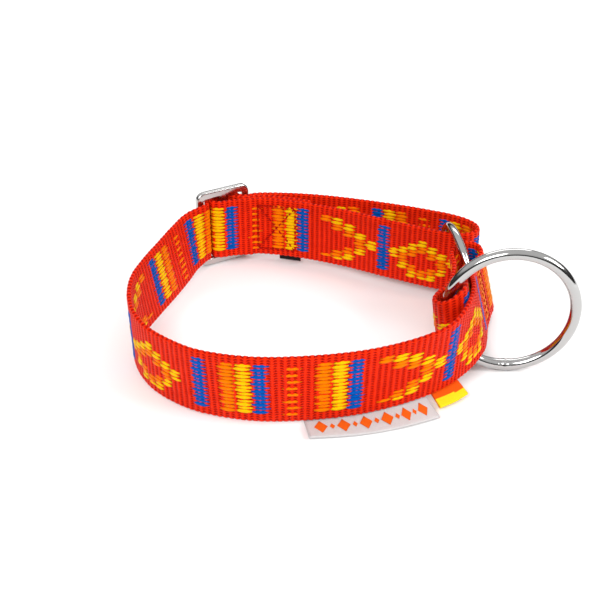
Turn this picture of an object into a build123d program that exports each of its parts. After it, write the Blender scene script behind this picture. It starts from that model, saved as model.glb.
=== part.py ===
"""Limited-slip webbing collar: one length of 25 mm webbing, a tri-glide slider and two welded rings.

Millimetres, +Z up. The origin is the middle of the neck opening, on the surface the collar stands on.
The webbing stands on its edge. Each run of it is a list of stations. A station gives the lower edge
(x, y, z) and how far the upper edge leans over from it in X and in Y.
"""
from build123d import *
import os
from math import cos, dist, pi, sin, sqrt

os.makedirs("parts", exist_ok=True)

# Webbing
WEB_WIDTH = 25.0
WEB_THICK = 1.6
LONG_STEP = 5.0  # spacing of the cross-sections along a gentle run
FOLD_STEP = 1.6  # and along a run with a tight fold in it

# O-ring for the leash: 40 mm inside, 4 mm wire
O_WIRE = 4.0
O_MEAN_R = 22.0
O_CENTRE = Vector(71.7, -20.7, O_MEAN_R + O_WIRE / 2)
O_NORMAL = Vector(-0.04, -1, 0)

# Small ring that the webbing folds hang on: 28 mm inside, 3 mm wire
S_WIRE = 3.0
S_MEAN_R = 15.5
S_CENTRE = Vector(59.6, 23.2, 16.9)
S_NORMAL = Vector(0.965, 0.186, 0.184)

# Tri-glide slider
GLIDE_LENGTH = 23.0
GLIDE_HEIGHT = 32.6
GLIDE_THICK = 2.4
GLIDE_BAR = 3.0
GLIDE_RAIL = 3.2
GLIDE_CORNER = 3.5
GLIDE_CENTRE = Vector(-31.0, 58.3, 0.1 + GLIDE_HEIGHT / 2)
GLIDE_ALONG = Vector(cos(pi / 6), sin(pi / 6), 0)
GLIDE_OUT = Vector(-sin(pi / 6), cos(pi / 6), 0)

# Trim
LABEL_THICK = 1.0
TAB_THICK = 1.0
TAG_THICK = 0.6
TAG_FOOT = Vector(-4.0, 56.5, 1.2)
TAG_WIDTH = 8.5
TAG_HEIGHT = 9.0


def glide_point(along, out):
    """A point beside the slider: distance along it, and distance out from its middle plane."""
    p = GLIDE_CENTRE + GLIDE_ALONG * along + GLIDE_OUT * out
    return p.X, p.Y


EDGE_Z = 3.7  # height of the webbing's lower edge at the slider


def upright(along, out):
    """A station of webbing that stands upright beside the slider."""
    x, y = glide_point(along, out)
    return (x, y, EDGE_Z, 0, 0)


# The webbing's one length, in order. Each run starts where the run before it ends.
ROUTE = {
    # From the sewn seam round the O-ring's wire, through the small ring and into the far fold
    "webbing_control_loop": [
        (65.0, -3.0, 4.6, -6.2, 8.0),
        (62.7, -12.0, 7.2, -5.2, 9.8),
        (60.6, -19.8, 9.0, -4.2, 9.2),
        (58.4, -24.8, 8.8, -2.7, 5.3),
        (54.6, -26.3, 6.8, -3.4, 1.8),
        (51.0, -24.6, 5.0, -3.6, 0.2),
        (49.3, -20.2, 3.9, -3.8, 0.0),
        (50.8, -15.6, 3.7, -3.7, 0.0),
        (53.6, -11.0, 3.5, -3.1, 0.0),
        (55.9, -4.5, 3.5, -2.5, 0.0),
        (57.9, 6.0, 3.6, -2.5, 0.0),
        (58.5, 13.2, 3.7, -3.3, -0.5),
        (60.8, 19.3, 3.9, -3.1, -0.8),
        (64.5, 22.0, 4.0, -2.8, -1.2),
        (68.8, 22.0, 3.5, -4.0, -1.2),
        (71.9, 20.0, 2.9, -5.4, -0.3),
        (72.6, 16.0, 2.4, -6.2, 0.5),
        (70.8, 10.0, 2.3, -6.2, 2.5),
    ],
    # Round the front and the left of the neck
    "webbing_collar_band": [
        (68.2, 0.0, 3.2, -5.8, 7.0),
        (65.9, -12.0, 5.6, -5.2, 10.0),
        (63.4, -21.3, 7.4, -3.3, 11.0),
        (58.7, -29.3, 7.0, -0.4, 9.5),
        (53.0, -35.5, 6.2, 1.8, 6.0),
        (48.0, -39.2, 5.4, 2.5, 2.0),
        (42.3, -42.4, 4.5, 1.8, 0.2),
        (31.0, -46.8, 3.2, 1.2, -0.3),
        (17.0, -50.4, 2.2, 0.8, -0.2),
        (0.0, -52.2, 1.4, 0.0, 0.0),
        (-16.0, -51.0, 0.5, -0.8, 0.1),
        (-31.5, -46.4, 0.1, -1.2, 0.0),
        (-42.0, -40.3, 0.1, -1.0, 0.4),
        (-50.6, -32.0, 0.2, -0.8, 0.2),
        (-56.6, -20.5, 0.4, -0.6, -0.5),
        (-58.8, -9.0, 0.7, -0.8, -1.0),
        (-56.8, 2.0, 1.2, -2.8, -0.6),
        (-52.6, 13.5, 1.7, -4.0, -0.3),
        (-48.6, 23.5, 2.1, -4.5, -0.1),
    ],
    "webbing_left_span": [
        (-44.2, 35.5, 2.7, -4.5, 0.3),
        (-41.2, 44.5, 3.3, -3.0, 0.4),
        upright(-9.8, -3.0),
    ],
    # Through the slider: inside its left bar, outside its centre bar and inside its right bar
    "webbing_slider_pass": [
        upright(-7.9, -2.1),
        upright(-6.9, 0.2),
        upright(-5.6, 3.0),
        upright(-3.0, 4.8),
        upright(0.0, 5.3),
        upright(3.0, 4.8),
        upright(5.6, 3.0),
        upright(6.9, 0.2),
        upright(7.9, -2.1),
        upright(9.8, -3.0),
        (-18.5, 62.0, 3.7, 0, 0),
    ],
    # The adjuster loop: out to the small ring, round its wire and back
    "webbing_outer_span": [
        (-10.0, 62.4, 3.7, 0, 0),
        (4.0, 61.0, 3.7, 0, 0),
        (20.0, 57.2, 3.8, 0, 0),
        (40.0, 50.4, 4.0, 0, 0),
    ],
    "webbing_ring_fold": [
        (52.0, 45.2, 4.2, 0, 0),
        (60.0, 41.0, 4.3, 0, 0),
        (65.6, 36.0, 4.3, 0, 0),
        (67.2, 31.0, 4.3, 0, 0),
        (65.0, 27.4, 4.3, 0, 0),
        (60.0, 26.0, 4.3, 0, 0),
        (52.0, 28.4, 4.2, 0, 0),
        (42.0, 33.4, 4.1, 0, 0),
    ],
    "webbing_inner_span": [
        (32.0, 38.7, 4.0, 0, 0),
        (18.0, 46.5, 3.8, 0, 0),
        (5.0, 52.2, 3.7, 0, 0),
    ],
    # The end: back to the slider, round its centre bar and sewn to itself
    "webbing_sewn_end": [
        (-6.0, 55.7, 3.7, 0, 0),
        (-17.0, 57.6, 3.7, 0, 0),
        upright(8.0, -6.6),
        upright(2.0, -4.0),
        upright(-2.6, -3.2),
        upright(-4.9, -1.2),
        upright(-4.6, 1.2),
        upright(-2.4, 2.4),
        upright(0.6, 2.6),
        upright(3.2, 1.6),
        upright(5.0, -1.2),
        upright(7.6, -4.2),
        (-17.0, 60.0, 3.7, 0, 0),
        (-6.0, 58.4, 3.7, 0, 0),
        (4.0, 55.2, 3.7, 0, 0),
    ],
}
FOLDED_RUNS = ("webbing_control_loop", "webbing_slider_pass", "webbing_ring_fold", "webbing_sewn_end")


def slopes(points):
    """The rate of change of every value at each point, per millimetre along the lower edge."""
    gaps = [dist(a[:3], b[:3]) for a, b in zip(points, points[1:])]
    rates = []
    for i in range(len(points)):
        before = max(i - 1, 0)
        after = min(i + 1, len(points) - 1)
        span = sum(gaps[before:after])
        rates.append([(b - a) / span for a, b in zip(points[before], points[after])])
    return gaps, rates


def between(start, end, start_rate, end_rate, gap, t):
    """A smooth value part of the way between two stations, and its rate there."""
    value = []
    rate = []
    for a, b, m, n in zip(start, end, start_rate, end_rate):
        m, n = m * gap, n * gap
        rise = b - a
        value.append(a + t * (m + t * ((3 * rise - 2 * m - n) + t * (m + n - 2 * rise))))
        rate.append(m + t * (2 * (3 * rise - 2 * m - n) + 3 * t * (m + n - 2 * rise)))
    return value, rate


def section_plane(station, rate):
    """The plane of the webbing's cross-section: its X axis goes up the width of the webbing."""
    x, y, z, lean_x, lean_y = station
    rise = sqrt(WEB_WIDTH**2 - lean_x**2 - lean_y**2)
    up = Vector(lean_x, lean_y, rise)
    along = Vector(rate[0] + rate[3] / 2, rate[1] + rate[4] / 2, rate[2])
    across = up.cross(along)
    return Plane(Vector(x, y, z) + up * 0.5, x_dir=up, z_dir=up.cross(across))


def webbing_runs():
    """The planes of the cross-sections of each run of webbing."""
    points = []
    ends = []
    for stations in ROUTE.values():
        points += stations
        ends.append(len(points) - 1)
    gaps, rates = slopes(points)
    first = 0
    for name, last in zip(ROUTE, ends):
        step = FOLD_STEP if name in FOLDED_RUNS else LONG_STEP
        planes = [section_plane(points[first], rates[first])]
        for i in range(first, last):
            pieces = max(1, round(gaps[i] / step))
            for k in range(1, pieces + 1):
                at = between(points[i], points[i + 1], rates[i], rates[i + 1], gaps[i], k / pieces)
                planes.append(section_plane(*at))
        first = last
        yield name, planes


def webbing(planes):
    """One run of webbing as a closed ruled solid through its cross-sections."""
    with BuildPart() as run:
        for plane in planes:
            with BuildSketch(plane):
                Rectangle(WEB_WIDTH, WEB_THICK)
        loft(ruled=True)
    return run.part


def strip(inner_edge, outer_edge, thick):
    """A flat strip of cloth between two rows of points, lofted from end to end."""
    with BuildPart() as cloth:
        for inner, outer in zip(inner_edge, outer_edge):
            inner, outer = Vector(*inner), Vector(*outer)
            across = outer - inner
            with BuildSketch(Plane((inner + outer) * 0.5, x_dir=across, z_dir=across.cross(Vector(0, 0, 1)))):
                Rectangle(across.length, thick)
        loft(ruled=True)
    return cloth.part


def ring(centre, normal, mean_radius, wire):
    """A welded ring of round wire."""
    plane = Plane(centre, z_dir=normal)
    with BuildPart() as body:
        with BuildSketch(Plane(centre + plane.x_dir * mean_radius, x_dir=plane.x_dir, z_dir=plane.y_dir)):
            Circle(wire / 2)
        revolve(axis=Axis(centre, normal), revolution_arc=360)
    return body.part


def save(part, name):
    part.label = name
    export_step(part, f"parts/{name}.step")


for run_name, run_planes in webbing_runs():
    save(webbing(run_planes), run_name)

save(ring(O_CENTRE, O_NORMAL, O_MEAN_R, O_WIRE), "o_ring")
save(ring(S_CENTRE, S_NORMAL, S_MEAN_R, S_WIRE), "small_ring")

# Label and tab, sewn in under the band's lower edge and lying out on the surface
LABEL_INNER = [(1.0, -50.2, 0.6), (16.5, -48.6, 1.4), (30.5, -45.0, 2.4), (41.5, -40.8, 3.4)]
LABEL_OUTER = [(3.0, -60.0, 0.6), (18.5, -58.2, 0.6), (33.5, -54.2, 0.6), (45.6, -49.2, 0.7)]
TAB_INNER = [(44.5, -38.6, 4.2), (49.0, -36.4, 4.6), (52.8, -33.8, 5.2)]
TAB_OUTER = [(48.0, -46.0, 1.0), (52.6, -43.2, 1.4), (56.9, -39.6, 1.9)]
save(strip(LABEL_INNER, LABEL_OUTER, LABEL_THICK), "woven_label")
save(strip(TAB_INNER, TAB_OUTER, TAB_THICK), "ribbon_tab")

# Size tag, held between the two layers of the sewn end
with BuildPart() as size_tag:
    with BuildSketch(Plane(TAG_FOOT, x_dir=(1, -0.29, 0), z_dir=(0, 0, 1))):
        Rectangle(TAG_WIDTH, TAG_THICK)
    extrude(amount=TAG_HEIGHT)
save(size_tag.part, "size_tag")

# Slider: a flat frame with a centre bar
with BuildPart() as slider:
    with BuildSketch(Plane(GLIDE_CENTRE, x_dir=GLIDE_ALONG, z_dir=GLIDE_OUT)):
        RectangleRounded(GLIDE_LENGTH, GLIDE_HEIGHT, GLIDE_CORNER)
        slot_length = (GLIDE_LENGTH - 3 * GLIDE_BAR) / 2
        with GridLocations(slot_length + GLIDE_BAR, 0, 2, 1):
            RectangleRounded(slot_length, GLIDE_HEIGHT - 2 * GLIDE_RAIL, 1.0, mode=Mode.SUBTRACT)
    extrude(amount=GLIDE_THICK / 2, both=True)
    fillet(slider.edges().filter_by(GeomType.LINE).filter_by(Axis.Z), 0.7)
save(slider.part, "tri_glide_slider")
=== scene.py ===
"""Looks of the martingale collar: woven webbing, stitching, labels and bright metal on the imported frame."""
from math import cos, pi, radians, sin

import bpy
import numpy as np
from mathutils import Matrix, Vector


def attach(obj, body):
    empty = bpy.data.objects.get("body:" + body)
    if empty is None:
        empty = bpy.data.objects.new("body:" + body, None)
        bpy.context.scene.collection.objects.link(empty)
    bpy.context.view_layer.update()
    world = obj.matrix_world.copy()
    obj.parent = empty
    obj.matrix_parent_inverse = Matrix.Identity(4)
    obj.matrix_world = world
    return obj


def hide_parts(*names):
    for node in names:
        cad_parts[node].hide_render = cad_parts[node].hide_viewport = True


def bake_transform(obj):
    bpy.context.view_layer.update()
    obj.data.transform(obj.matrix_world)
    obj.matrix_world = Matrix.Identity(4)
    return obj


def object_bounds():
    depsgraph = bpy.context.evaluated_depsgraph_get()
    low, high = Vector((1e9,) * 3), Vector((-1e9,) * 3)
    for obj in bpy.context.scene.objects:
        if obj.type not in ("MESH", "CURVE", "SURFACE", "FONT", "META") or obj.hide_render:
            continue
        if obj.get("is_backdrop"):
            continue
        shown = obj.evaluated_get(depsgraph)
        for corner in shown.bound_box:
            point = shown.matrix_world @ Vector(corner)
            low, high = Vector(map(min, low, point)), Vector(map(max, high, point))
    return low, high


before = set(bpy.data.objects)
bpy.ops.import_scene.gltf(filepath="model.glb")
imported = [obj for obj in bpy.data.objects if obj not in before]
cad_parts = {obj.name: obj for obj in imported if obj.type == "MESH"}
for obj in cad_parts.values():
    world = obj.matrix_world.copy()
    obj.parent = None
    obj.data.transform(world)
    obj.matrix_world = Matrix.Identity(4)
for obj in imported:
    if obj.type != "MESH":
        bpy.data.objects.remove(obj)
CAD_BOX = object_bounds()

MM = 0.001  # shapes are in millimetres until they are built. Stage, camera and flat sizes are in metres.
random = np.random.default_rng(7)

# ---------------------------------------------------------------- webbing: size and route

WEB_WIDTH = 25.0
RIB_PITCH = 2.08
RIB_STEPS = 8  # samples along one rib
CREST = 0.86  # half the thickness over a rib
GROOVE = 0.58  # and between two ribs
EDGE_Z = 3.7  # the upright webbing's lower edge
GLIDE_CENTRE = (-31.0, 58.3)
GLIDE_ANGLE = radians(30)


def upright(along, out):
    """A station of webbing that stands upright beside the slider."""
    x = GLIDE_CENTRE[0] + along * cos(GLIDE_ANGLE) - out * sin(GLIDE_ANGLE)
    y = GLIDE_CENTRE[1] + along * sin(GLIDE_ANGLE) + out * cos(GLIDE_ANGLE)
    return (x, y, EDGE_Z, 0, 0)


# A station is the lower edge (x, y, z) and how far the upper edge leans over in X and in Y.
# The webbing's one length, in order. Each run starts where the run before it ends.
ROUTE = {
    # From the sewn seam round the O-ring's wire, through the small ring and into the far fold
    "webbing_control_loop": [
        (65.0, -3.0, 4.6, -6.2, 8.0),
        (62.7, -12.0, 7.2, -5.2, 9.8),
        (60.6, -19.8, 9.0, -4.2, 9.2),
        (58.4, -24.8, 8.8, -2.7, 5.3),
        (54.6, -26.3, 6.8, -3.4, 1.8),
        (51.0, -24.6, 5.0, -3.6, 0.2),
        (49.3, -20.2, 3.9, -3.8, 0.0),
        (50.8, -15.6, 3.7, -3.7, 0.0),
        (53.6, -11.0, 3.5, -3.1, 0.0),
        (55.9, -4.5, 3.5, -2.5, 0.0),
        (57.9, 6.0, 3.6, -2.5, 0.0),
        (58.5, 13.2, 3.7, -3.3, -0.5),
        (60.8, 19.3, 3.9, -3.1, -0.8),
        (64.5, 22.0, 4.0, -2.8, -1.2),
        (68.8, 22.0, 3.5, -4.0, -1.2),
        (71.9, 20.0, 2.9, -5.4, -0.3),
        (72.6, 16.0, 2.4, -6.2, 0.5),
        (70.8, 10.0, 2.3, -6.2, 2.5),
    ],
    # Round the front and the left of the neck
    "webbing_collar_band": [
        (68.2, 0.0, 3.2, -5.8, 7.0),
        (65.9, -12.0, 5.6, -5.2, 10.0),
        (63.4, -21.3, 7.4, -3.3, 11.0),
        (58.7, -29.3, 7.0, -0.4, 9.5),
        (53.0, -35.5, 6.2, 1.8, 6.0),
        (48.0, -39.2, 5.4, 2.5, 2.0),
        (42.3, -42.4, 4.5, 1.8, 0.2),
        (31.0, -46.8, 3.2, 1.2, -0.3),
        (17.0, -50.4, 2.2, 0.8, -0.2),
        (0.0, -52.2, 1.4, 0.0, 0.0),
        (-16.0, -51.0, 0.5, -0.8, 0.1),
        (-31.5, -46.4, 0.1, -1.2, 0.0),
        (-42.0, -40.3, 0.1, -1.0, 0.4),
        (-50.6, -32.0, 0.2, -0.8, 0.2),
        (-56.6, -20.5, 0.4, -0.6, -0.5),
        (-58.8, -9.0, 0.7, -0.8, -1.0),
        (-56.8, 2.0, 1.2, -2.8, -0.6),
        (-52.6, 13.5, 1.7, -4.0, -0.3),
        (-48.6, 23.5, 2.1, -4.5, -0.1),
    ],
    "webbing_left_span": [
        (-44.2, 35.5, 2.7, -4.5, 0.3),
        (-41.2, 44.5, 3.3, -3.0, 0.4),
        upright(-9.8, -3.0),
    ],
    # Through the slider: inside its left bar, outside its centre bar and inside its right bar
    "webbing_slider_pass": [
        upright(-7.9, -2.1),
        upright(-6.9, 0.2),
        upright(-5.6, 3.0),
        upright(-3.0, 4.8),
        upright(0.0, 5.3),
        upright(3.0, 4.8),
        upright(5.6, 3.0),
        upright(6.9, 0.2),
        upright(7.9, -2.1),
        upright(9.8, -3.0),
        (-18.5, 62.0, 3.7, 0, 0),
    ],
    # The adjuster loop: out to the small ring, round its wire and back
    "webbing_outer_span": [
        (-10.0, 62.4, 3.7, 0, 0),
        (4.0, 61.0, 3.7, 0, 0),
        (20.0, 57.2, 3.8, 0, 0),
        (40.0, 50.4, 4.0, 0, 0),
    ],
    "webbing_ring_fold": [
        (52.0, 45.2, 4.2, 0, 0),
        (60.0, 41.0, 4.3, 0, 0),
        (65.6, 36.0, 4.3, 0, 0),
        (67.2, 31.0, 4.3, 0, 0),
        (65.0, 27.4, 4.3, 0, 0),
        (60.0, 26.0, 4.3, 0, 0),
        (52.0, 28.4, 4.2, 0, 0),
        (42.0, 33.4, 4.1, 0, 0),
    ],
    "webbing_inner_span": [
        (32.0, 38.7, 4.0, 0, 0),
        (18.0, 46.5, 3.8, 0, 0),
        (5.0, 52.2, 3.7, 0, 0),
    ],
    # The end: back to the slider, round its centre bar and sewn to itself
    "webbing_sewn_end": [
        (-6.0, 55.7, 3.7, 0, 0),
        (-17.0, 57.6, 3.7, 0, 0),
        upright(8.0, -6.6),
        upright(2.0, -4.0),
        upright(-2.6, -3.2),
        upright(-4.9, -1.2),
        upright(-4.6, 1.2),
        upright(-2.4, 2.4),
        upright(0.6, 2.6),
        upright(3.2, 1.6),
        upright(5.0, -1.2),
        upright(7.6, -4.2),
        (-17.0, 60.0, 3.7, 0, 0),
        (-6.0, 58.4, 3.7, 0, 0),
        (4.0, 55.2, 3.7, 0, 0),
    ],
}


def slopes(points):
    """Gaps between the stations, and each value's rate of change there per millimetre."""
    gaps = np.linalg.norm(np.diff(points[:, :3], axis=0), axis=1)
    rates = np.empty_like(points)
    for i in range(len(points)):
        before = max(i - 1, 0)
        after = min(i + 1, len(points) - 1)
        rates[i] = (points[after] - points[before]) / gaps[before:after].sum()
    return gaps, rates


def between(start, end, start_rate, end_rate, gap, t):
    """Smooth values and rates part of the way between two stations."""
    leave = start_rate * gap
    arrive = end_rate * gap
    rise = end - start
    bend = 3 * rise - 2 * leave - arrive
    twist = leave + arrive - 2 * rise
    value = start + t * (leave + t * (bend + t * twist))
    rate = leave + t * (2 * bend + 3 * t * twist)
    return value, rate


def sampled_route():
    """Values and rates sampled finely from end to end, and the first and last sample of each run."""
    points = np.array([station for stations in ROUTE.values() for station in stations], float)
    gaps, rates = slopes(points)
    values = [points[0]]
    changes = [rates[0]]
    span = {}
    first = 0
    begun = 0
    for name, stations in ROUTE.items():
        last = first + len(stations) - (1 if first == 0 else 0)
        for i in range(first, last):
            pieces = max(2, round(gaps[i] / (RIB_PITCH / RIB_STEPS)))
            for k in range(1, pieces + 1):
                ends = (points[i], points[i + 1], rates[i], rates[i + 1])
                value, change = between(*ends, gaps[i], k / pieces)
                values.append(value)
                changes.append(change)
        span[name] = (begun, len(values) - 1)
        first = last
        begun = len(values) - 1
    return np.array(values), np.array(changes), span


def unit(rows):
    """Each row scaled to length 1."""
    return rows / np.linalg.norm(rows, axis=1)[:, None]


def travelled(points):
    """Length along a row of points at each of them."""
    return np.r_[0, np.cumsum(np.linalg.norm(np.diff(points, axis=0), axis=1))]


class Route:
    """The webbing's places, directions and length along it, from end to end."""

    def __init__(self):
        values, changes, self.span = sampled_route()
        lean = values[:, 3:5]
        rise = np.sqrt(WEB_WIDTH**2 - (lean**2).sum(1))
        self.up = np.c_[lean, rise] / WEB_WIDTH
        self.middle = values[:, :3] + self.up * WEB_WIDTH / 2
        along = changes[:, :3] + np.c_[changes[:, 3:5] / 2, np.zeros(len(changes))]
        self.across = unit(np.cross(self.up, along))
        self.length = travelled(self.middle)

    def at(self, s, table):
        """A table's values at length s."""
        return np.stack([np.interp(s, self.length, table[:, k]) for k in range(3)], -1)

    def place(self, s, v, n):
        """Points at length s, v up from the middle of the width and n out from that of the thickness."""
        upward = self.at(s, self.up) * v[..., None]
        outward = self.at(s, self.across) * n[..., None]
        return self.at(s, self.middle) + upward + outward


route = Route()

# ---------------------------------------------------------------- materials


class Finish:
    """A material with its Principled shader, and the tools that build its nodes."""

    def __init__(self, name, colour, roughness, metallic=0.0, sheen=0.0, specular=0.5):
        self.material = bpy.data.materials.new(name)
        self.material.use_nodes = True
        self.nodes = self.material.node_tree.nodes
        self.links = self.material.node_tree.links
        self.shader = self.nodes["Principled BSDF"]
        self.set(self.shader, "Base Color", (*colour, 1))
        self.set(self.shader, "Roughness", roughness)
        self.set(self.shader, "Metallic", metallic)
        self.set(self.shader, "Sheen Weight", sheen)
        self.set(self.shader, "Sheen Roughness", 0.4)
        self.set(self.shader, "Sheen Tint", (*colour, 1))
        self.set(self.shader, "Specular IOR Level", specular)
        if not metallic:
            self.set(self.shader, "Specular Tint", (*colour, 1))

    def set(self, node, socket, value):
        """Gives a node's socket a number, a colour or another node's output."""
        if isinstance(value, bpy.types.NodeSocket):
            self.links.new(value, node.inputs[socket])
        else:
            node.inputs[socket].default_value = value

    def uv(self, layer="UVMap"):
        """The coordinates of a UV layer. In UVMap they are millimetres."""
        node = self.nodes.new("ShaderNodeUVMap")
        node.uv_map = layer
        return node.outputs[0]

    def split(self, coordinates):
        """The first two parts of some coordinates."""
        node = self.nodes.new("ShaderNodeSeparateXYZ")
        self.links.new(coordinates, node.inputs[0])
        return node.outputs[0], node.outputs[1]

    def noise(self, coordinates, scale, detail):
        """Noise from 0 to 1."""
        node = self.nodes.new("ShaderNodeTexNoise")
        self.set(node, "Vector", coordinates)
        self.set(node, "Scale", scale)
        self.set(node, "Detail", detail)
        return node.outputs["Fac"]

    def math(self, operation, *values, clamp=False):
        """A Math node of values that are each a socket or a number."""
        node = self.nodes.new("ShaderNodeMath")
        node.operation = operation
        node.use_clamp = clamp
        for index, value in enumerate(values):
            self.set(node, index, value)
        return node.outputs[0]

    def mixed(self, first, second, share):
        """A share of the first value and the rest of the second."""
        rest = self.math("MULTIPLY", second, 1 - share)
        return self.math("MULTIPLY_ADD", first, share, rest)

    def spread(self, value, low, high, to_low=0.0, to_high=1.0):
        """The value's range from low to high, stretched to another range."""
        node = self.nodes.new("ShaderNodeMapRange")
        self.set(node, "Value", value)
        self.set(node, "From Min", low)
        self.set(node, "From Max", high)
        self.set(node, "To Min", to_low)
        self.set(node, "To Max", to_high)
        return node.outputs[0]

    def colour_by(self, factor, dark, light):
        """The base colour runs from dark to light with the factor."""
        mix = self.nodes.new("ShaderNodeMix")
        mix.data_type = "RGBA"
        self.set(mix, 0, factor)
        self.set(mix, 6, (*dark, 1))
        self.set(mix, 7, (*light, 1))
        self.links.new(mix.outputs[2], self.shader.inputs["Base Color"])

    def bump(self, height, distance, strength=1.0):
        """Bump whose height of 1 is that distance in metres."""
        node = self.nodes.new("ShaderNodeBump")
        self.set(node, "Distance", distance)
        self.set(node, "Strength", strength)
        self.set(node, "Height", height)
        self.links.new(node.outputs[0], self.shader.inputs["Normal"])


def scaled(colour, factor):
    """A colour made darker or lighter."""
    return tuple(min(1.0, part * factor) for part in colour)


def yarn(name, colour, fibre_scale, fibre_depth, specular=0.22):
    """Polyester yarn: fine fibres along the strap, uneven dye, and painted shade where it dives into the
    weave.
    """
    finish = Finish(name, colour, 0.5, sheen=specular / 2, specular=specular)
    uv = finish.uv()
    stretched = finish.nodes.new("ShaderNodeMapping")
    finish.set(stretched, "Scale", (0.35, 1.0, 1.0))
    finish.set(stretched, "Vector", uv)
    fibres = finish.noise(stretched.outputs[0], fibre_scale, 3.0)
    dye = finish.noise(uv, 0.9, 2.0)
    uneven = finish.spread(finish.mixed(fibres, dye, 0.65), 0.3, 0.7)
    lit = finish.math("MULTIPLY_ADD", uneven, 0.45, 0.55)
    # Painted shade: the depth layer darkens the colour where a yarn dives into the weave and beside the
    # ground.
    depth, _ = finish.split(finish.uv("Depth"))
    finish.colour_by(finish.math("MULTIPLY", lit, depth), scaled(colour, 0.16), scaled(colour, 1.1))
    finish.bump(fibres, fibre_depth)
    return finish.material


WARP_PITCH = 0.95  # spacing of the small notches that the ground's yarns leave along a groove


def ground_cloth(name, colour):
    """The ribbed ground: packed yarns with notches between them, and painted shade in the grooves, deepest at
    the notches.
    """
    finish = Finish(name, colour, 0.5, sheen=0.2, specular=0.28)
    uv = finish.uv()
    s, v = finish.split(uv)
    phase = finish.math("MULTIPLY", s, 2 * pi / RIB_PITCH)
    rib = finish.math("MULTIPLY_ADD", finish.math("COSINE", phase), 0.5, 0.5)
    alternate = finish.math("COSINE", finish.math("MULTIPLY", phase, 0.5))
    stagger = finish.math("MULTIPLY", alternate, 1.1)
    pairs = finish.math("MULTIPLY_ADD", v, 2 * pi / WARP_PITCH, stagger)
    warp = finish.math("MULTIPLY_ADD", finish.math("SINE", pairs), 0.5, 0.5)
    notch = finish.math("MULTIPLY", finish.math("SUBTRACT", 1.0, rib), warp)
    fibres = finish.noise(uv, 7.0, 4.0)
    patches = finish.noise(uv, 0.35, 2.0)
    tone = finish.math("MULTIPLY_ADD", fibres, 0.9, finish.math("MULTIPLY", patches, 0.5))
    # Painted shade: the notches along the grooves pull the colour towards the dark end, which the random tone
    # also reaches.
    shade = finish.math("SUBTRACT", tone, finish.math("MULTIPLY", notch, 1.1), clamp=True)
    dark = (colour[0] * 0.42, colour[1] * 0.12, colour[2] * 0.1)
    light = (colour[0] * 1.12, colour[1] * 1.4, colour[2] * 1.3)
    finish.colour_by(shade, dark, light)
    height = finish.math("SUBTRACT", fibres, finish.math("MULTIPLY", notch, 2.0))
    finish.bump(height, 0.00012)
    return finish.material


def label_cloth(name, colour, line_scale):
    """Close satin or grosgrain weave with fine even lines."""
    finish = Finish(name, colour, 0.5, sheen=0.2)
    uv = finish.uv()
    lines = finish.nodes.new("ShaderNodeTexWave")
    lines.bands_direction = "X"
    finish.set(lines, "Vector", uv)
    finish.set(lines, "Scale", line_scale)
    finish.set(lines, "Distortion", 0.6)
    finish.set(lines, "Detail", 2.0)
    weave = finish.mixed(lines.outputs["Fac"], finish.noise(uv, 3.0, 5.0), 0.4)
    finish.colour_by(weave, scaled(colour, 0.72), scaled(colour, 1.15))
    finish.bump(weave, 0.00006)
    return finish.material


def bright_steel(name, colour, roughness):
    """Bright steel: almost a mirror, with faint smudges and a soft waviness."""
    finish = Finish(name, colour, roughness, metallic=1.0)
    place = finish.nodes.new("ShaderNodeTexCoord").outputs["Object"]
    smudge = finish.noise(place, 120.0, 4.0)
    rough = finish.spread(smudge, 0.35, 0.75, roughness * 0.7, roughness * 1.9)
    finish.set(finish.shader, "Roughness", rough)
    finish.colour_by(smudge, scaled(colour, 0.9), colour)
    finish.bump(finish.noise(place, 260.0, 1.0), 0.00003, 0.5)
    return finish.material


RED = (0.86, 0.024, 0.004)
GROUND = ground_cloth("red_ribbed_ground", RED)
YARNS = {
    "orange": yarn("orange_yarn", (1.0, 0.2, 0.0), 5.0, 0.00006),
    "yellow": yarn("yellow_yarn", (1.0, 0.53, 0.002), 5.0, 0.00006),
    "blue": yarn("blue_yarn", (0.0, 0.09, 0.44), 5.0, 0.00006, 0.25),
    "red": yarn("red_sewing_thread", (0.42, 0.008, 0.004), 6.0, 0.00008),
}
WEB_MATERIALS = [GROUND, *YARNS.values()]
YARN_INDEX = {name: i + 1 for i, name in enumerate(YARNS)}
STEEL = bright_steel("bright_steel", (0.50, 0.495, 0.49), 0.07)
PLATE = bright_steel("slider_plate_steel", (0.58, 0.57, 0.56), 0.14)
LABEL = label_cloth("grey_label_satin", (0.67, 0.65, 0.65), 5.0)
MARK = label_cloth("orange_label_thread", (0.86, 0.13, 0.01), 6.0)
TAB_ORANGE = label_cloth("orange_grosgrain", (0.92, 0.10, 0.006), 2.0)
TAB_YELLOW = label_cloth("yellow_grosgrain", (0.95, 0.68, 0.015), 2.0)
TAG = label_cloth("black_tag_satin", (0.012, 0.012, 0.013), 5.0)

# ---------------------------------------------------------------- mesh tools


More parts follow.
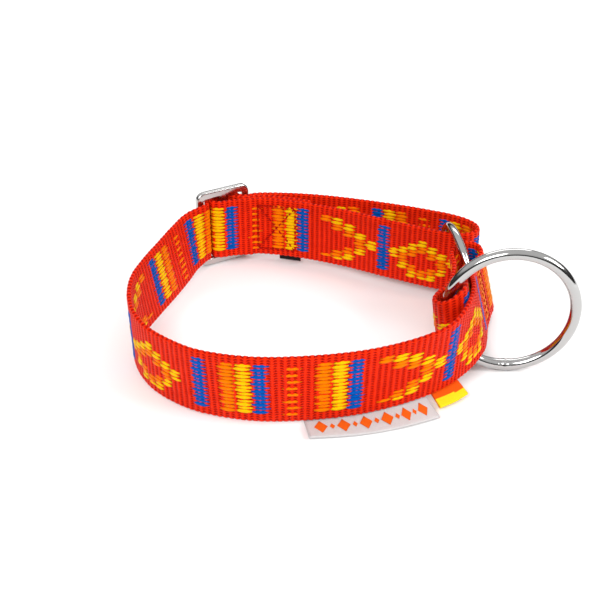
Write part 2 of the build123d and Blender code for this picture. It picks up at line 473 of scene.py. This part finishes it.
class Mesh:
    """Collects points, UVs and faces in millimetres, and makes one object of them."""

    def __init__(self):
        self.points = []
        self.uvs = []
        self.shade_depths = []
        self.faces = []
        self.kinds = []
        self.count = 0

    def skins(self, rings, uvs, kind=0, flip=False, depth=1.0):
        """Closed skins over rings of points: an array of (skins, rings, points, 3). Both ends are capped.

        Each point's depth runs from 1 where a yarn stands proud to 0 where it dives into the weave, and the
        yarns' colour darkens with it as painted shade.
        """
        many, rows, around = rings.shape[:3]
        index = np.arange(many * rows * around).reshape(many, rows, around) + self.count
        right = np.roll(index, -1, axis=2)
        corners = [index[:, :-1], right[:, :-1], right[:, 1:], index[:, 1:]]
        quads = np.stack(corners, -1).reshape(-1, 4)
        caps = np.concatenate([index[:, 0, ::-1], index[:, -1]])
        if flip:
            quads = quads[:, ::-1]
            caps = caps[:, ::-1]
        kinds = np.broadcast_to(np.asarray(kind), (many,))
        self.points.append(rings.reshape(-1, 3))
        self.uvs.append(uvs.reshape(-1, 2))
        self.shade_depths.append(np.broadcast_to(depth, rings.shape[:3]).ravel())
        self.faces += [quads, caps]
        self.kinds += [np.repeat(kinds, len(quads) // many), np.r_[kinds, kinds]]
        self.count += many * rows * around

    def build(self, name, materials):
        """The object, smooth shaded, in metres."""
        mesh = bpy.data.meshes.new(name)
        sizes = np.concatenate([np.full(len(f), f.shape[1]) for f in self.faces])
        corners = np.concatenate([f.ravel() for f in self.faces])
        points = np.concatenate(self.points) * MM
        mesh.vertices.add(len(points))
        mesh.vertices.foreach_set("co", points.ravel())
        mesh.loops.add(len(corners))
        mesh.loops.foreach_set("vertex_index", corners)
        mesh.polygons.add(len(sizes))
        mesh.polygons.foreach_set("loop_start", np.r_[0, np.cumsum(sizes)[:-1]])
        mesh.polygons.foreach_set("material_index", np.concatenate(self.kinds))
        mesh.polygons.foreach_set("use_smooth", np.ones(len(sizes), bool))
        # The depth layer carries the painted shade of the yarns.
        shade_depths = np.concatenate(self.shade_depths)
        layers = {"UVMap": np.concatenate(self.uvs), "Depth": np.c_[shade_depths, shade_depths]}
        for layer_name, values in layers.items():
            layer = mesh.uv_layers.new(name=layer_name)
            layer.data.foreach_set("uv", values[corners].ravel())
        mesh.update(calc_edges=True)
        mesh.validate()
        for material in materials:
            mesh.materials.append(material)
        piece = bpy.data.objects.new(name, mesh)
        bpy.context.scene.collection.objects.link(piece)
        return piece


# ---------------------------------------------------------------- webbing: ribbed ground

FACE_POINTS = 15
EDGE_ROUND = 0.75  # how far in from the edge the rounding starts
EDGE_WAVE = 0.26  # how much further out the edge stands at a rib than at a groove
MEAN_RIB = 0.45
ROUND_TURN = np.linspace(0, pi, 7)[1:-1]


def section():
    """Points round the cross-section: height, share of the half thickness, and share of the edge's wave."""
    face = np.linspace(-1, 1, FACE_POINTS)
    flat = WEB_WIDTH / 2 - EDGE_ROUND
    outer = np.c_[face * flat, np.ones(FACE_POINTS), np.zeros(FACE_POINTS)]
    top = np.c_[flat + EDGE_ROUND * np.sin(ROUND_TURN), np.cos(ROUND_TURN), np.sin(ROUND_TURN)]
    return np.r_[outer, top, -outer, -top]


def rib_height(s):
    """0 in a groove to 1 on a crest, each rib a little different from the next."""
    phase = s / RIB_PITCH
    rib = np.round(phase).astype(int)
    uneven = 1 + 0.12 * np.sin(rib * 12.9898) * np.cos(rib * 4.1414)
    return np.abs(np.cos(pi * (phase - rib))) ** 0.75 * uneven


def ribbed_ground(mesh, first, last):
    """The red ground of one run as a closed skin."""
    height, thick, edge = section().T[:, None, :]
    length = route.length[first : last + 1, None]
    rib = rib_height(length)
    v = height + EDGE_WAVE * (rib - MEAN_RIB) * edge
    unevenness = 0.05 * np.sin(length * 0.21) * np.sin(height * 0.35)
    n = thick * (GROOVE + (CREST - GROOVE) * rib + unevenness)
    s = np.broadcast_to(length, v.shape)
    uvs = np.stack([s, v + WEB_WIDTH / 2], -1)
    mesh.skins(route.place(s, v, n)[None], uvs[None])


# ---------------------------------------------------------------- webbing: pattern yarns

PATTERN_START = 243.5  # where one repeat begins, as a length along the route. It runs back towards the loop.
FLOAT_GAP = 0.055  # spacing of the floats, as a share of the width
SPARSE_GAP = 0.101
# Each column lists (colour, height of the first float from the upper edge, number of floats)
BLUE_BAR = [[("blue", 0.125, 14)]]
BLOCK = [[("orange", 0.125, 14)], [("yellow", 0.125, 14)]]
ARROW = [
    [("orange", 0.16, 2), ("orange", 0.84, 1)],
    [("yellow", 0.18, 2), ("orange", 0.29, 2), ("orange", 0.75, 2), ("yellow", 0.86, 1)],
    [("yellow", 0.25, 2), ("orange", 0.36, 2), ("orange", 0.66, 2), ("yellow", 0.77, 2)],
    [("yellow", 0.36, 2), ("orange", 0.47, 3), ("yellow", 0.635, 2)],
    [("yellow", 0.45, 3)],
]
HALF_DIAMOND = [
    [("yellow", 0.46, 3)],
    [("yellow", 0.40, 2), ("orange", 0.51, 3), ("yellow", 0.675, 2)],
    [("yellow", 0.32, 2), ("orange", 0.43, 2), ("orange", 0.69, 2), ("yellow", 0.80, 2)],
    [("yellow", 0.24, 2), ("orange", 0.35, 2), ("orange", 0.75, 2), ("yellow", 0.86, 1)],
]
DIAMOND = HALF_DIAMOND + HALF_DIAMOND[2::-1]
SPARSE = [[("sparse", 0.17, 8)]]
# One repeat: columns, the length of each along the strap, and the plain ribs after them
REPEAT = [
    (BLUE_BAR, 5.2, 4.4),
    (BLOCK + BLUE_BAR, 5.43, 5.2),
    (SPARSE, 4.6, 5.2),
    (BLOCK + BLUE_BAR, 5.23, 4.7),
    (ARROW, 4.98, 0.0),
    (BLUE_BAR, 5.3, 0.0),
    (DIAMOND, 4.0, 5.2),
]
# The weave drifts against the route: (length along the route, drift). It starts anew at the loop's seam.
LOOP_DRIFT = [(0, -118.7), (60, -118.7), (95, -116.7), (101, -116.7)]
BAND_DRIFT = [(101.2, 0), (350, 0), (385, 3.9), (435, 3.9), (455, 5), (466, 7.7)]
END_DRIFT = [(520, 9.3), (560, 9.5), (585, 10.4), (700, 10.4)]
DRIFT = np.array(LOOP_DRIFT + BAND_DRIFT + END_DRIFT)


def pattern_columns():
    """(the lengths where a column starts and ends, its groups) for the whole strap, running back along it."""
    period = sum(len(columns) * long + plain for columns, long, plain in REPEAT)
    woven = route.length + np.interp(route.length, DRIFT[:, 0], DRIFT[:, 1])
    start = PATTERN_START + period * 4
    while start > -period:
        here = start
        for columns, long, plain in REPEAT:
            for groups in columns:
                ends = np.interp([here - long, here], woven, route.length, left=-1, right=-1)
                if ends[1] - ends[0] > long / 2 and ends[0] >= 0:
                    yield ends, groups
                here -= long
            here -= plain
        start -= period


THREAD_ROWS = np.linspace(0, 1, 9)[None, :, None]
THREAD_TURN = (np.arange(6) * pi / 3)[None, None, :]
THREAD_BASE = GROOVE * 0.9  # a thread's two ends dive to just below the grooves
FIBRE_SHIFT = 40  # moves each thread's fibres to another part of the noise


def threads(mesh, segments):
    """Spindle-shaped lengths of yarn: (s0, v0, s1, v1, half width, rise, side, colour, bluntness)."""
    for side in (1, -1):
        found = [segment for segment in segments if segment[6] == side]
        if not found:
            continue
        kinds = np.array([YARN_INDEX[segment[7]] for segment in found])
        rows = np.array([segment[:7] + segment[8:] for segment in found], float)
        s0, v0, s1, v1, width, rise, _, blunt = rows.T[:, :, None, None]
        shape = np.maximum(1 - np.abs(2 * THREAD_ROWS - 1) ** blunt, 0.03) ** 0.8
        long = np.hypot(s1 - s0, v1 - v0)
        aside = width * shape * np.cos(THREAD_TURN)
        s = s0 + (s1 - s0) * THREAD_ROWS - aside * (v1 - v0) / long
        v = v0 + (v1 - v0) * THREAD_ROWS + aside * (s1 - s0) / long
        lift = THREAD_BASE + rise * shape**0.6 * (0.45 + 0.55 * np.sin(THREAD_TURN))
        # Painted shade: darkest at the thread's tips and on its side next to the ground, lightest along its
        # raised top.
        depth = np.clip(0.2 + 0.8 * shape * (0.75 + 0.45 * np.sin(THREAD_TURN)), 0, 1)
        uvs = np.stack([s, v + FIBRE_SHIFT * s0], -1)
        mesh.skins(route.place(s, v, side * lift), uvs, kinds, flip=side > 0, depth=depth)


# Kinds of float: half width, rise and how far its ends reach past the column
THICK_FLOAT = (0.84, 0.6, 0.6)
THIN_FLOAT = (0.66, 0.5, 0.6)
SPARSE_FLOAT = (0.62, 0.42, 1.0)
FLOAT_BLUNTNESS = 1.8


def one_float(start, end, height, odd, colour, side):
    """A float across a column, at a share of the width below the upper edge, a little off its place."""
    width, rise, reach = THICK_FLOAT if odd else THIN_FLOAT
    if colour == "sparse":
        width, rise, reach = SPARSE_FLOAT
        colour = "orange"
    v = WEB_WIDTH * (0.5 - height) + random.uniform(-0.08, 0.08)
    shift = 0.6 * ((0.45 if odd else -0.45) + random.uniform(-0.15, 0.15))
    width += random.uniform(-0.05, 0.05)
    rise += random.uniform(-0.04, 0.04)
    end_v = v + random.uniform(-0.12, 0.12)
    ends = (start - reach + shift, v, end + reach + shift, end_v)
    return (*ends, width, rise, side, colour, FLOAT_BLUNTNESS)


def floats(first, last):
    """The pattern's floats whose middle lies on the samples from first to last, on both faces."""
    low = route.length[first]
    high = route.length[last]
    found = []
    for (start, end), groups in pattern_columns():
        if not low <= (start + end) / 2 < high:
            continue
        for colour, top, count in groups:
            gap = SPARSE_GAP if colour == "sparse" else FLOAT_GAP
            for k in range(count):
                for side in (1, -1):
                    found.append(one_float(start, end, top + gap * k, k % 2, colour, side))
    return found


# ---------------------------------------------------------------- sewing

STITCH_LENGTH = 2.3
STITCH_SHAPE = (0.4, 0.8)  # half width and rise
STITCH_BLUNTNESS = 3.0
BOX_REACH = 9.6  # from the middle of the width to the box's edges
ROW_REACH = 10.5


def seam(corners, side):
    """A row of stitches from corner to corner, each corner (s, v)."""
    found = []
    for (s0, v0), (s1, v1) in zip(corners, corners[1:]):
        long = np.hypot(s1 - s0, v1 - v0)
        count = max(2, round(long / STITCH_LENGTH))
        for k in range(count):
            a = (k + 0.1) / count
            b = (k + 0.9) / count
            start = (s0 + (s1 - s0) * a, v0 + (v1 - v0) * a)
            end = (s0 + (s1 - s0) * b, v0 + (v1 - v0) * b)
            found.append((*start, *end, *STITCH_SHAPE, side, "red", STITCH_BLUNTNESS))
    return found


def box_and_cross(low, high, side):
    """A box of stitches with a cross in it, between two lengths along the route."""
    foot_low = (low, -BOX_REACH)
    top_low = (low, BOX_REACH)
    foot_high = (high, -BOX_REACH)
    top_high = (high, BOX_REACH)
    box = seam([foot_low, top_low, top_high, foot_high, foot_low], side)
    return box + seam([foot_low, top_high], side) + seam([top_low, foot_high], side)


def double_row(first, second):
    """Two rows of stitches across the webbing, sewn up and back down."""
    up = seam([(first, -ROW_REACH), (first, ROW_REACH)], 1)
    return up + seam([(second, ROW_REACH), (second, -ROW_REACH)], 1)


SEAMS = {
    "webbing_sewn_end": box_and_cross(557.5, 573.0, 1) + box_and_cross(615.5, 631.0, -1),
    "webbing_collar_band": double_row(104.5, 107.5),
    "webbing_control_loop": double_row(2.5, 5.5),
}

# ---------------------------------------------------------------- the runs of webbing

RUN_BODY = {"webbing_slider_pass": "slider", "webbing_sewn_end": "slider"}
# Spans that stretch or bunch up as the slider moves on the real collar, here only baked in place: where they
# follow the collar and where the slider
SPAN_ENDS = {
    "webbing_left_span": ((-48, 24, 15), (-39.5, 51, 15)),
    "webbing_outer_span": ((39, 50, 15), (-18, 62, 15)),
    "webbing_inner_span": ((41, 34, 15), (6, 52, 15)),
}
for run_name, (run_first, run_last) in route.span.items():
    web = Mesh()
    ribbed_ground(web, run_first, run_last)
    threads(web, floats(run_first, run_last))
    threads(web, SEAMS.get(run_name, []))
    run_piece = web.build(run_name.replace("webbing", "woven"), WEB_MATERIALS)
    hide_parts(run_name)
    if run_name in SPAN_ENDS:
        span_start, span_end = (tuple(c * MM for c in point) for point in SPAN_ENDS[run_name])
        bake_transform(run_piece)
        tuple(span_start)
        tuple(span_end)
    else:
        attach(run_piece, RUN_BODY.get(run_name, "collar"))

# ---------------------------------------------------------------- label, tab and tag


def smooth_row(points, count):
    """A smooth row of points through the given ones."""
    points = np.array(points, float)
    gaps, rates = slopes(points)
    found = []
    for at in np.linspace(0, len(points) - 1, count):
        i = min(int(at), len(points) - 2)
        place, _ = between(points[i], points[i + 1], rates[i], rates[i + 1], gaps[i], at - i)
        found.append(place)
    return np.array(found)


FACE_SHARES = np.linspace(0, 1, 13)


def patch_section(thick):
    """Section of a single raised layer: share of the width, millimetres past it, and height."""
    half = thick / 2
    top = np.c_[FACE_SHARES, 0 * FACE_SHARES, 0 * FACE_SHARES + half]
    bulge = (np.sin(ROUND_TURN) - 1) * half
    height = np.cos(ROUND_TURN) * half
    front = np.c_[0 * height + 1, bulge, height]
    back = np.c_[0 * height, -bulge, -height]
    return np.r_[top, front, top[::-1] * (1, 1, -1), back]


def doubled_section(thick, cloth):
    """Section of cloth folded double, open at the sewn edge and round at the outer one."""
    half = thick / 2
    faces = []
    for radius in (half, half - cloth):
        top = np.c_[FACE_SHARES, -half * FACE_SHARES, 0 * FACE_SHARES + radius]
        height = np.cos(ROUND_TURN) * radius
        bend = np.c_[0 * height + 1, np.sin(ROUND_TURN) * radius - half, height]
        faces.append(np.r_[top, bend, top[::-1] * (1, 1, -1)])
    return np.r_[faces[0], faces[1][::-1]]


def cloth_skin(mesh, inner, outer, shape, rows=49, lift=0.0, ripple=0.0):
    """Cloth with the given section, swept between an inner and an outer row of points."""
    inner = smooth_row(inner, rows)
    outer = smooth_row(outer, rows)
    wide = outer - inner
    normal = unit(np.cross(wide, np.gradient(inner + outer, axis=0)))
    normal *= np.sign(normal[:, 2:3])
    reach = np.linalg.norm(wide, axis=1)[:, None]
    share = shape[None, :, 0] + shape[None, :, 1] / reach
    wave = ripple * np.sin(np.linspace(0, 7, rows)[:, None] + share * 2) * share
    rise = shape[None, :, 2] + wave + lift
    points = inner[:, None] + wide[:, None] * share[..., None] + normal[:, None] * rise[..., None]
    along = np.broadcast_to(travelled(inner)[:, None], share.shape)
    uvs = np.stack([along, share * reach], -1)
    mesh.skins(points[None], uvs[None])


LABEL_INNER = [(1.0, -50.2, 0.6), (16.5, -48.6, 1.4), (30.5, -45.0, 2.4), (41.5, -40.8, 3.4)]
LABEL_OUTER = [(3.0, -60.8, 0.6), (18.7, -59.0, 0.6), (33.8, -55.0, 0.6), (46.0, -49.9, 0.7)]
TAB_INNER = [(43.3, -39.2, 4.1), (48.6, -36.6, 4.6), (52.8, -33.8, 5.2)]
TAB_OUTER = [(46.6, -45.6, 1.3), (52.1, -42.5, 1.8), (56.6, -39.0, 2.3)]
LABEL_THICK = 0.9
TAB_THICK = 0.9
CLOTH_THICK = 0.34

label_mesh = Mesh()
label_section = doubled_section(LABEL_THICK, CLOTH_THICK)
cloth_skin(label_mesh, LABEL_INNER, LABEL_OUTER, label_section, ripple=0.1)
label = label_mesh.build("folded_label", [LABEL])
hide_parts("woven_label")
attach(label, "collar")


def on_row(points, share):
    """The point at a share of a smooth row's length."""
    steps = np.linspace(0, 1, 101)
    row = smooth_row(points, 101)
    return np.array([np.interp(share, steps, row[:, k]) for k in range(3)])


def on_label(share, depth):
    """A point in the middle of the label's thickness, at a share of its length and of its depth."""
    near = on_row(LABEL_INNER, share)
    return near + (on_row(LABEL_OUTER, share) - near) * depth


# A generic woven motif: a row of bold lozenges, every second one small
MOTIF_DEPTH = 0.55
MOTIF_THICK = 0.14
MOTIF_LIFT = LABEL_THICK / 2 + 0.09
LOZENGES = {0: (0.046, 0.27), 1: (0.018, 0.12)}  # half length and half depth, as shares of the label


def lozenge(mesh, middle, half_length, half_depth):
    """One raised lozenge on the label. Its two tips keep a sliver of depth."""
    near = []
    far = []
    for c in np.linspace(-1, 1, 9):
        reach = half_depth * (1.04 - abs(c))
        near.append(on_label(middle + half_length * c, MOTIF_DEPTH - reach))
        far.append(on_label(middle + half_length * c, MOTIF_DEPTH + reach))
    cloth_skin(mesh, near, far, patch_section(MOTIF_THICK), rows=17, lift=MOTIF_LIFT)


motif = Mesh()
for k in range(11):
    lozenge(motif, 0.1 + 0.08 * k, *LOZENGES[k % 2])
label_motif = motif.build("label_motif", [MARK])
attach(label_motif, "collar")

tab_mesh = Mesh()
cloth_skin(tab_mesh, TAB_INNER, TAB_OUTER, doubled_section(TAB_THICK, CLOTH_THICK), rows=25)
tab = tab_mesh.build("two_tone_ribbon_tab", [TAB_ORANGE, TAB_YELLOW])
STRIPE = 4.3  # width of the orange stripe, before the yellow one
tab_uvs = tab.data.uv_layers[0].data
for polygon in tab.data.polygons:
    depth = np.mean([tab_uvs[loop].uv[1] for loop in polygon.loop_indices])
    polygon.material_index = int(depth > STRIPE)
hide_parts("ribbon_tab")
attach(tab, "collar")

TAG_MIDDLE = (-4.0, 56.5)
TAG_WIDTH = 8.5
TAG_LOW = 1.2
TAG_HIGH = 10.2
TAG_THICK = 0.6
TAG_SLOPE = -0.29  # how far the tag runs in Y for each millimetre in X
TAG_FOLD = 0.04  # share of the height that the rounded fold takes


def tag_row(z):
    """A row of points across the tag at height z."""
    across = np.linspace(-0.5, 0.5, 9) * TAG_WIDTH
    return np.array([(TAG_MIDDLE[0] + a, TAG_MIDDLE[1] + TAG_SLOPE * a, z) for a in across])


def upright_cloth(mesh, low, high, thick):
    """Cloth folded double at its lower edge, standing upright, between two rows."""
    normal = np.cross(low[-1] - low[0], (0, 0, 1))
    normal /= np.linalg.norm(normal)
    down = np.linspace(1, TAG_FOLD, 8)
    drop = np.r_[down, TAG_FOLD - TAG_FOLD * np.sin(ROUND_TURN), down[::-1]]
    side = np.r_[np.ones(8), np.cos(ROUND_TURN), -np.ones(8)]
    points = low[:, None] + (high - low)[:, None] * drop[None, :, None]
    points = points + normal * (side * thick / 2)[None, :, None]
    across = np.linalg.norm(low - low[0], axis=1)
    tall = drop * (TAG_HIGH - TAG_LOW)
    uvs = np.stack(np.meshgrid(across, tall, indexing="ij"), -1)
    mesh.skins(points[None], uvs[None])


tag_mesh = Mesh()
upright_cloth(tag_mesh, tag_row(TAG_LOW), tag_row(TAG_HIGH), TAG_THICK)
tag = tag_mesh.build("black_size_tag", [TAG])
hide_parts("size_tag")
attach(tag, "slider")

# ---------------------------------------------------------------- metal

for node_name, steel in (("o_ring", STEEL), ("small_ring", STEEL), ("tri_glide_slider", PLATE)):
    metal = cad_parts[node_name]
    for material_slot in metal.material_slots:
        material_slot.material = steel


BEAD_SPREAD = radians(7)  # half the angle that a weld bead covers
BEAD_TURN = np.arange(24) * 2 * pi / 24
BEAD_SWELL = 0.16  # past the wire in the middle of the bead
BEAD_SINK = 0.03  # into the wire at its two ends


def weld(name, body, centre, normal, mean_radius, wire_radius, angle):
    """The swollen, slightly lumpy bead where a ring's wire was butt welded."""
    normal = np.array(normal, float)
    normal /= np.linalg.norm(normal)
    side = np.cross(normal, (0, 0, 1))
    side /= np.linalg.norm(side)
    high = np.cross(side, normal)
    rings = []
    for row in np.linspace(-1, 1, 15):
        a = angle + row * BEAD_SPREAD
        out = side * cos(a) + high * sin(a)
        lumps = BEAD_SWELL + 0.09 * sin(row * 9.0) + 0.05 * np.sin(BEAD_TURN * 5 + row * 6)
        radius = (wire_radius + lumps * (1 - row**2) - BEAD_SINK)[:, None]
        middle = np.array(centre, float) + out * mean_radius
        around = np.cos(BEAD_TURN)[:, None] * out + np.sin(BEAD_TURN)[:, None] * normal
        rings.append(middle + around * radius)
    rings = np.array(rings)[None]
    bead = Mesh()
    bead.skins(rings, rings[..., :2])
    piece = bead.build(name, [STEEL])
    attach(piece, body)


weld("o_ring_weld", "leash_ring", (71.7, -20.7, 24), (-0.04, -1, 0), 22, 2, radians(270))
weld("small_ring_weld", "loop_ring", (59.6, 23.2, 16.9), (0.965, 0.186, 0.184), 15.5, 1.5, radians(250))

# ---------------------------------------------------------------- stage, lights and camera

floor_mesh = bpy.data.meshes.new("floor")
FLOOR = 3.0  # metres from the middle to the edge
FLOOR_Z = -0.0002
corners = [(x * FLOOR, y * FLOOR, FLOOR_Z) for x, y in ((-1, -1), (1, -1), (1, 1), (-1, 1))]
floor_mesh.from_pydata(corners, [], [(0, 1, 2, 3)])
floor = bpy.data.objects.new("floor", floor_mesh)
bpy.context.scene.collection.objects.link(floor)
floor_mesh.materials.append(Finish("pale_floor", (0.93, 0.93, 0.93), 0.8).material)
floor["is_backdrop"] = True


def area_light(name, place, target, size, power):
    """A soft box that points at the target."""
    data = bpy.data.lights.new(name, "AREA")
    data.shape = "RECTANGLE"
    data.size = size[0]
    data.size_y = size[1]
    data.energy = power
    light = bpy.data.objects.new(name, data)
    light.location = place
    direction = Vector(target) - Vector(place)
    light.rotation_euler = direction.to_track_quat("-Z", "Y").to_euler()
    bpy.context.scene.collection.objects.link(light)


area_light("key", (-0.3, -0.8, 0.72), (0, 0, 0), (0.6, 0.4), 7.6)
area_light("right", (0.85, -0.25, 0.55), (0.03, 0, 0.01), (0.4, 0.4), 5.0)
area_light("back", (0.1, 0.8, 0.8), (0, 0, 0), (0.9, 0.3), 2.6)

# A bright ceiling over darker walls, which gives the metal its dark streaks
world = bpy.data.worlds.new("studio")
world.use_nodes = True
world_nodes = world.node_tree.nodes
world_links = world.node_tree.links
heading = world_nodes.new("ShaderNodeTexCoord").outputs["Generated"]
height_of = world_nodes.new("ShaderNodeSeparateXYZ")
world_links.new(heading, height_of.inputs[0])
ramp = world_nodes.new("ShaderNodeValToRGB")
world_links.new(height_of.outputs["Z"], ramp.inputs[0])
# (height of the direction, brightness)
WALLS = [(0.0, 0.03), (0.26, 0.10), (0.42, 0.85), (0.7, 1.0)]
for position, _ in WALLS[2:]:
    ramp.color_ramp.elements.new(position)
for element, (position, grey) in zip(ramp.color_ramp.elements, WALLS):
    element.position = position
    element.color = (grey, grey, grey, 1)
world_links.new(ramp.outputs[0], world_nodes["Background"].inputs[0])
world_nodes["Background"].inputs[1].default_value = 0.85
bpy.context.scene.world = world
bpy.context.scene.view_settings.view_transform = "Standard"

camera_data = bpy.data.cameras.new("camera")
camera_data.sensor_width = 36
camera_data.lens = 67.446
camera_data.clip_start = 0.01
camera = bpy.data.objects.new("camera", camera_data)
camera.location = (0, -0.34708, 0.22441)
camera.rotation_euler = (radians(59), 0, 0)
bpy.context.scene.collection.objects.link(camera)
bpy.context.scene.camera = camera

boxes = {"cad": CAD_BOX, "visual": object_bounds()}
{key: [[float(c) for c in corner] for corner in box] for key, box in boxes.items()}
